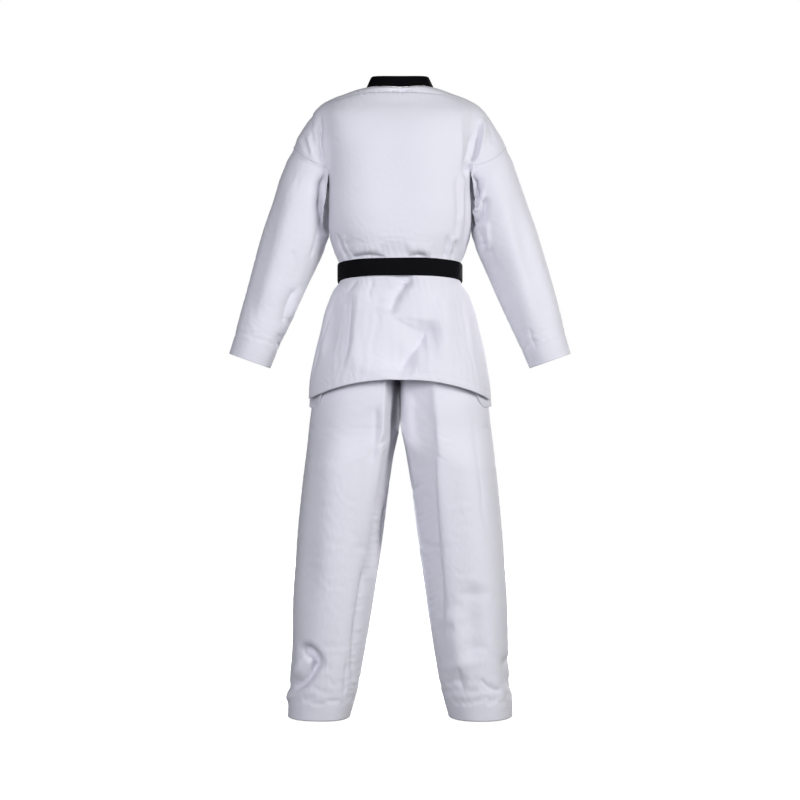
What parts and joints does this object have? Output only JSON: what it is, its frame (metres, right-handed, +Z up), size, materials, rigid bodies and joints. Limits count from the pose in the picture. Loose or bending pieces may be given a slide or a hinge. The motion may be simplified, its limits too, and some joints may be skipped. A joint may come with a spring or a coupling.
{
  "type": "martial arts uniform",
  "caption": "White pullover jacket with a black V collar, tied with a black belt over wide white trousers, in the shape it has on a wearer.",
  "frame": {"origin": "the middle of the wearer's waist, at the centre of the belt's loop", "axes": "+Z up, +X to the wearer's left, the wearer faces -Y"},
  "size_m": [0.7846, 0.3107, 1.462],
  "materials": {
    "white_cloth": "matte",
    "white_hem": "matte",
    "black_cloth": "matte",
    "elastic": "matte"
  },
  "bodies": {
    "jacket": {"back_panel": "white_cloth", "front_panel": "white_cloth", "yoke": "white_cloth", "left_shoulder_panel": "white_cloth", "right_shoulder_panel": "white_cloth", "collar_back": "black_cloth", "collar_left_front": "black_cloth", "collar_right_front": "black_cloth", "left_vent_tab": "white_hem", "right_vent_tab": "white_hem", "belt_inner_turn": "black_cloth", "belt_outer_turn": "black_cloth", "belt_knot": "black_cloth"},
    "back_skirt": {"back_skirt": "white_cloth", "back_hem_band": "white_hem"},
    "front_skirt": {"front_skirt": "white_cloth", "front_hem_band": "white_hem"},
    "belt_left_tail": {"belt_left_tail": "black_cloth"},
    "belt_right_tail": {"belt_right_tail": "black_cloth"},
    "left_sleeve": {"left_sleeve": "white_cloth", "left_underarm_gusset": "white_cloth", "left_cuff": "white_hem"},
    "right_sleeve": {"right_sleeve": "white_cloth", "right_underarm_gusset": "white_cloth", "right_cuff": "white_hem"},
    "trousers": {"waistband": "white_hem", "waist_elastic": "elastic", "left_seat_back": "white_cloth", "right_seat_back": "white_cloth", "left_seat_front": "white_cloth", "right_seat_front": "white_cloth", "crotch_gusset": "white_cloth"},
    "left_leg": {"left_leg_back": "white_cloth", "left_leg_front": "white_cloth", "left_leg_hem": "white_hem"},
    "right_leg": {"right_leg_back": "white_cloth", "right_leg_front": "white_cloth", "right_leg_hem": "white_hem"}
  },
  "joints": [
    {"name": "left_sleeve_raise", "type": "hinge", "parent": "jacket", "child": "left_sleeve", "pos_m": [0.15, 0, 0.348], "axis": [0, -1, 0], "range_deg": [0, 60]},
    {"name": "right_sleeve_raise", "type": "hinge", "parent": "jacket", "child": "right_sleeve", "pos_m": [-0.15, 0, 0.348], "axis": [0, 1, 0], "range_deg": [0, 60]},
    {"name": "back_skirt_lift", "type": "hinge", "parent": "jacket", "child": "back_skirt", "pos_m": [0, 0.108, -0.04], "axis": [1, 0, 0], "range_deg": [0, 40], "stiffness_Nm_per_rad": 0.5, "springref_deg": -5.73},
    {"name": "front_skirt_lift", "type": "hinge", "parent": "jacket", "child": "front_skirt", "pos_m": [0, -0.103, -0.04], "axis": [-1, 0, 0], "range_deg": [0, 40], "stiffness_Nm_per_rad": 0.5, "springref_deg": -5.73},
    {"name": "belt_left_tail_swing", "type": "hinge", "parent": "front_skirt", "child": "belt_left_tail", "pos_m": [0, -0.11, -0.04], "axis": [-1, 0, 0], "range_deg": [0, 45]},
    {"name": "belt_right_tail_swing", "type": "hinge", "parent": "front_skirt", "child": "belt_right_tail", "pos_m": [0, -0.11, -0.04], "axis": [-1, 0, 0], "range_deg": [0, 45]},
    {"name": "trousers_pull_down", "type": "slide", "parent": "jacket", "child": "trousers", "axis": [0, 0, -1], "range_m": [0, 0.3]},
    {"name": "left_leg_swing", "type": "hinge", "parent": "trousers", "child": "left_leg", "pos_m": [0.12, 0, -0.42], "axis": [-1, 0, 0], "range_deg": [-20, 30]},
    {"name": "right_leg_swing", "type": "hinge", "parent": "trousers", "child": "right_leg", "pos_m": [-0.12, 0, -0.42], "axis": [-1, 0, 0], "range_deg": [-20, 30]}
  ]
}
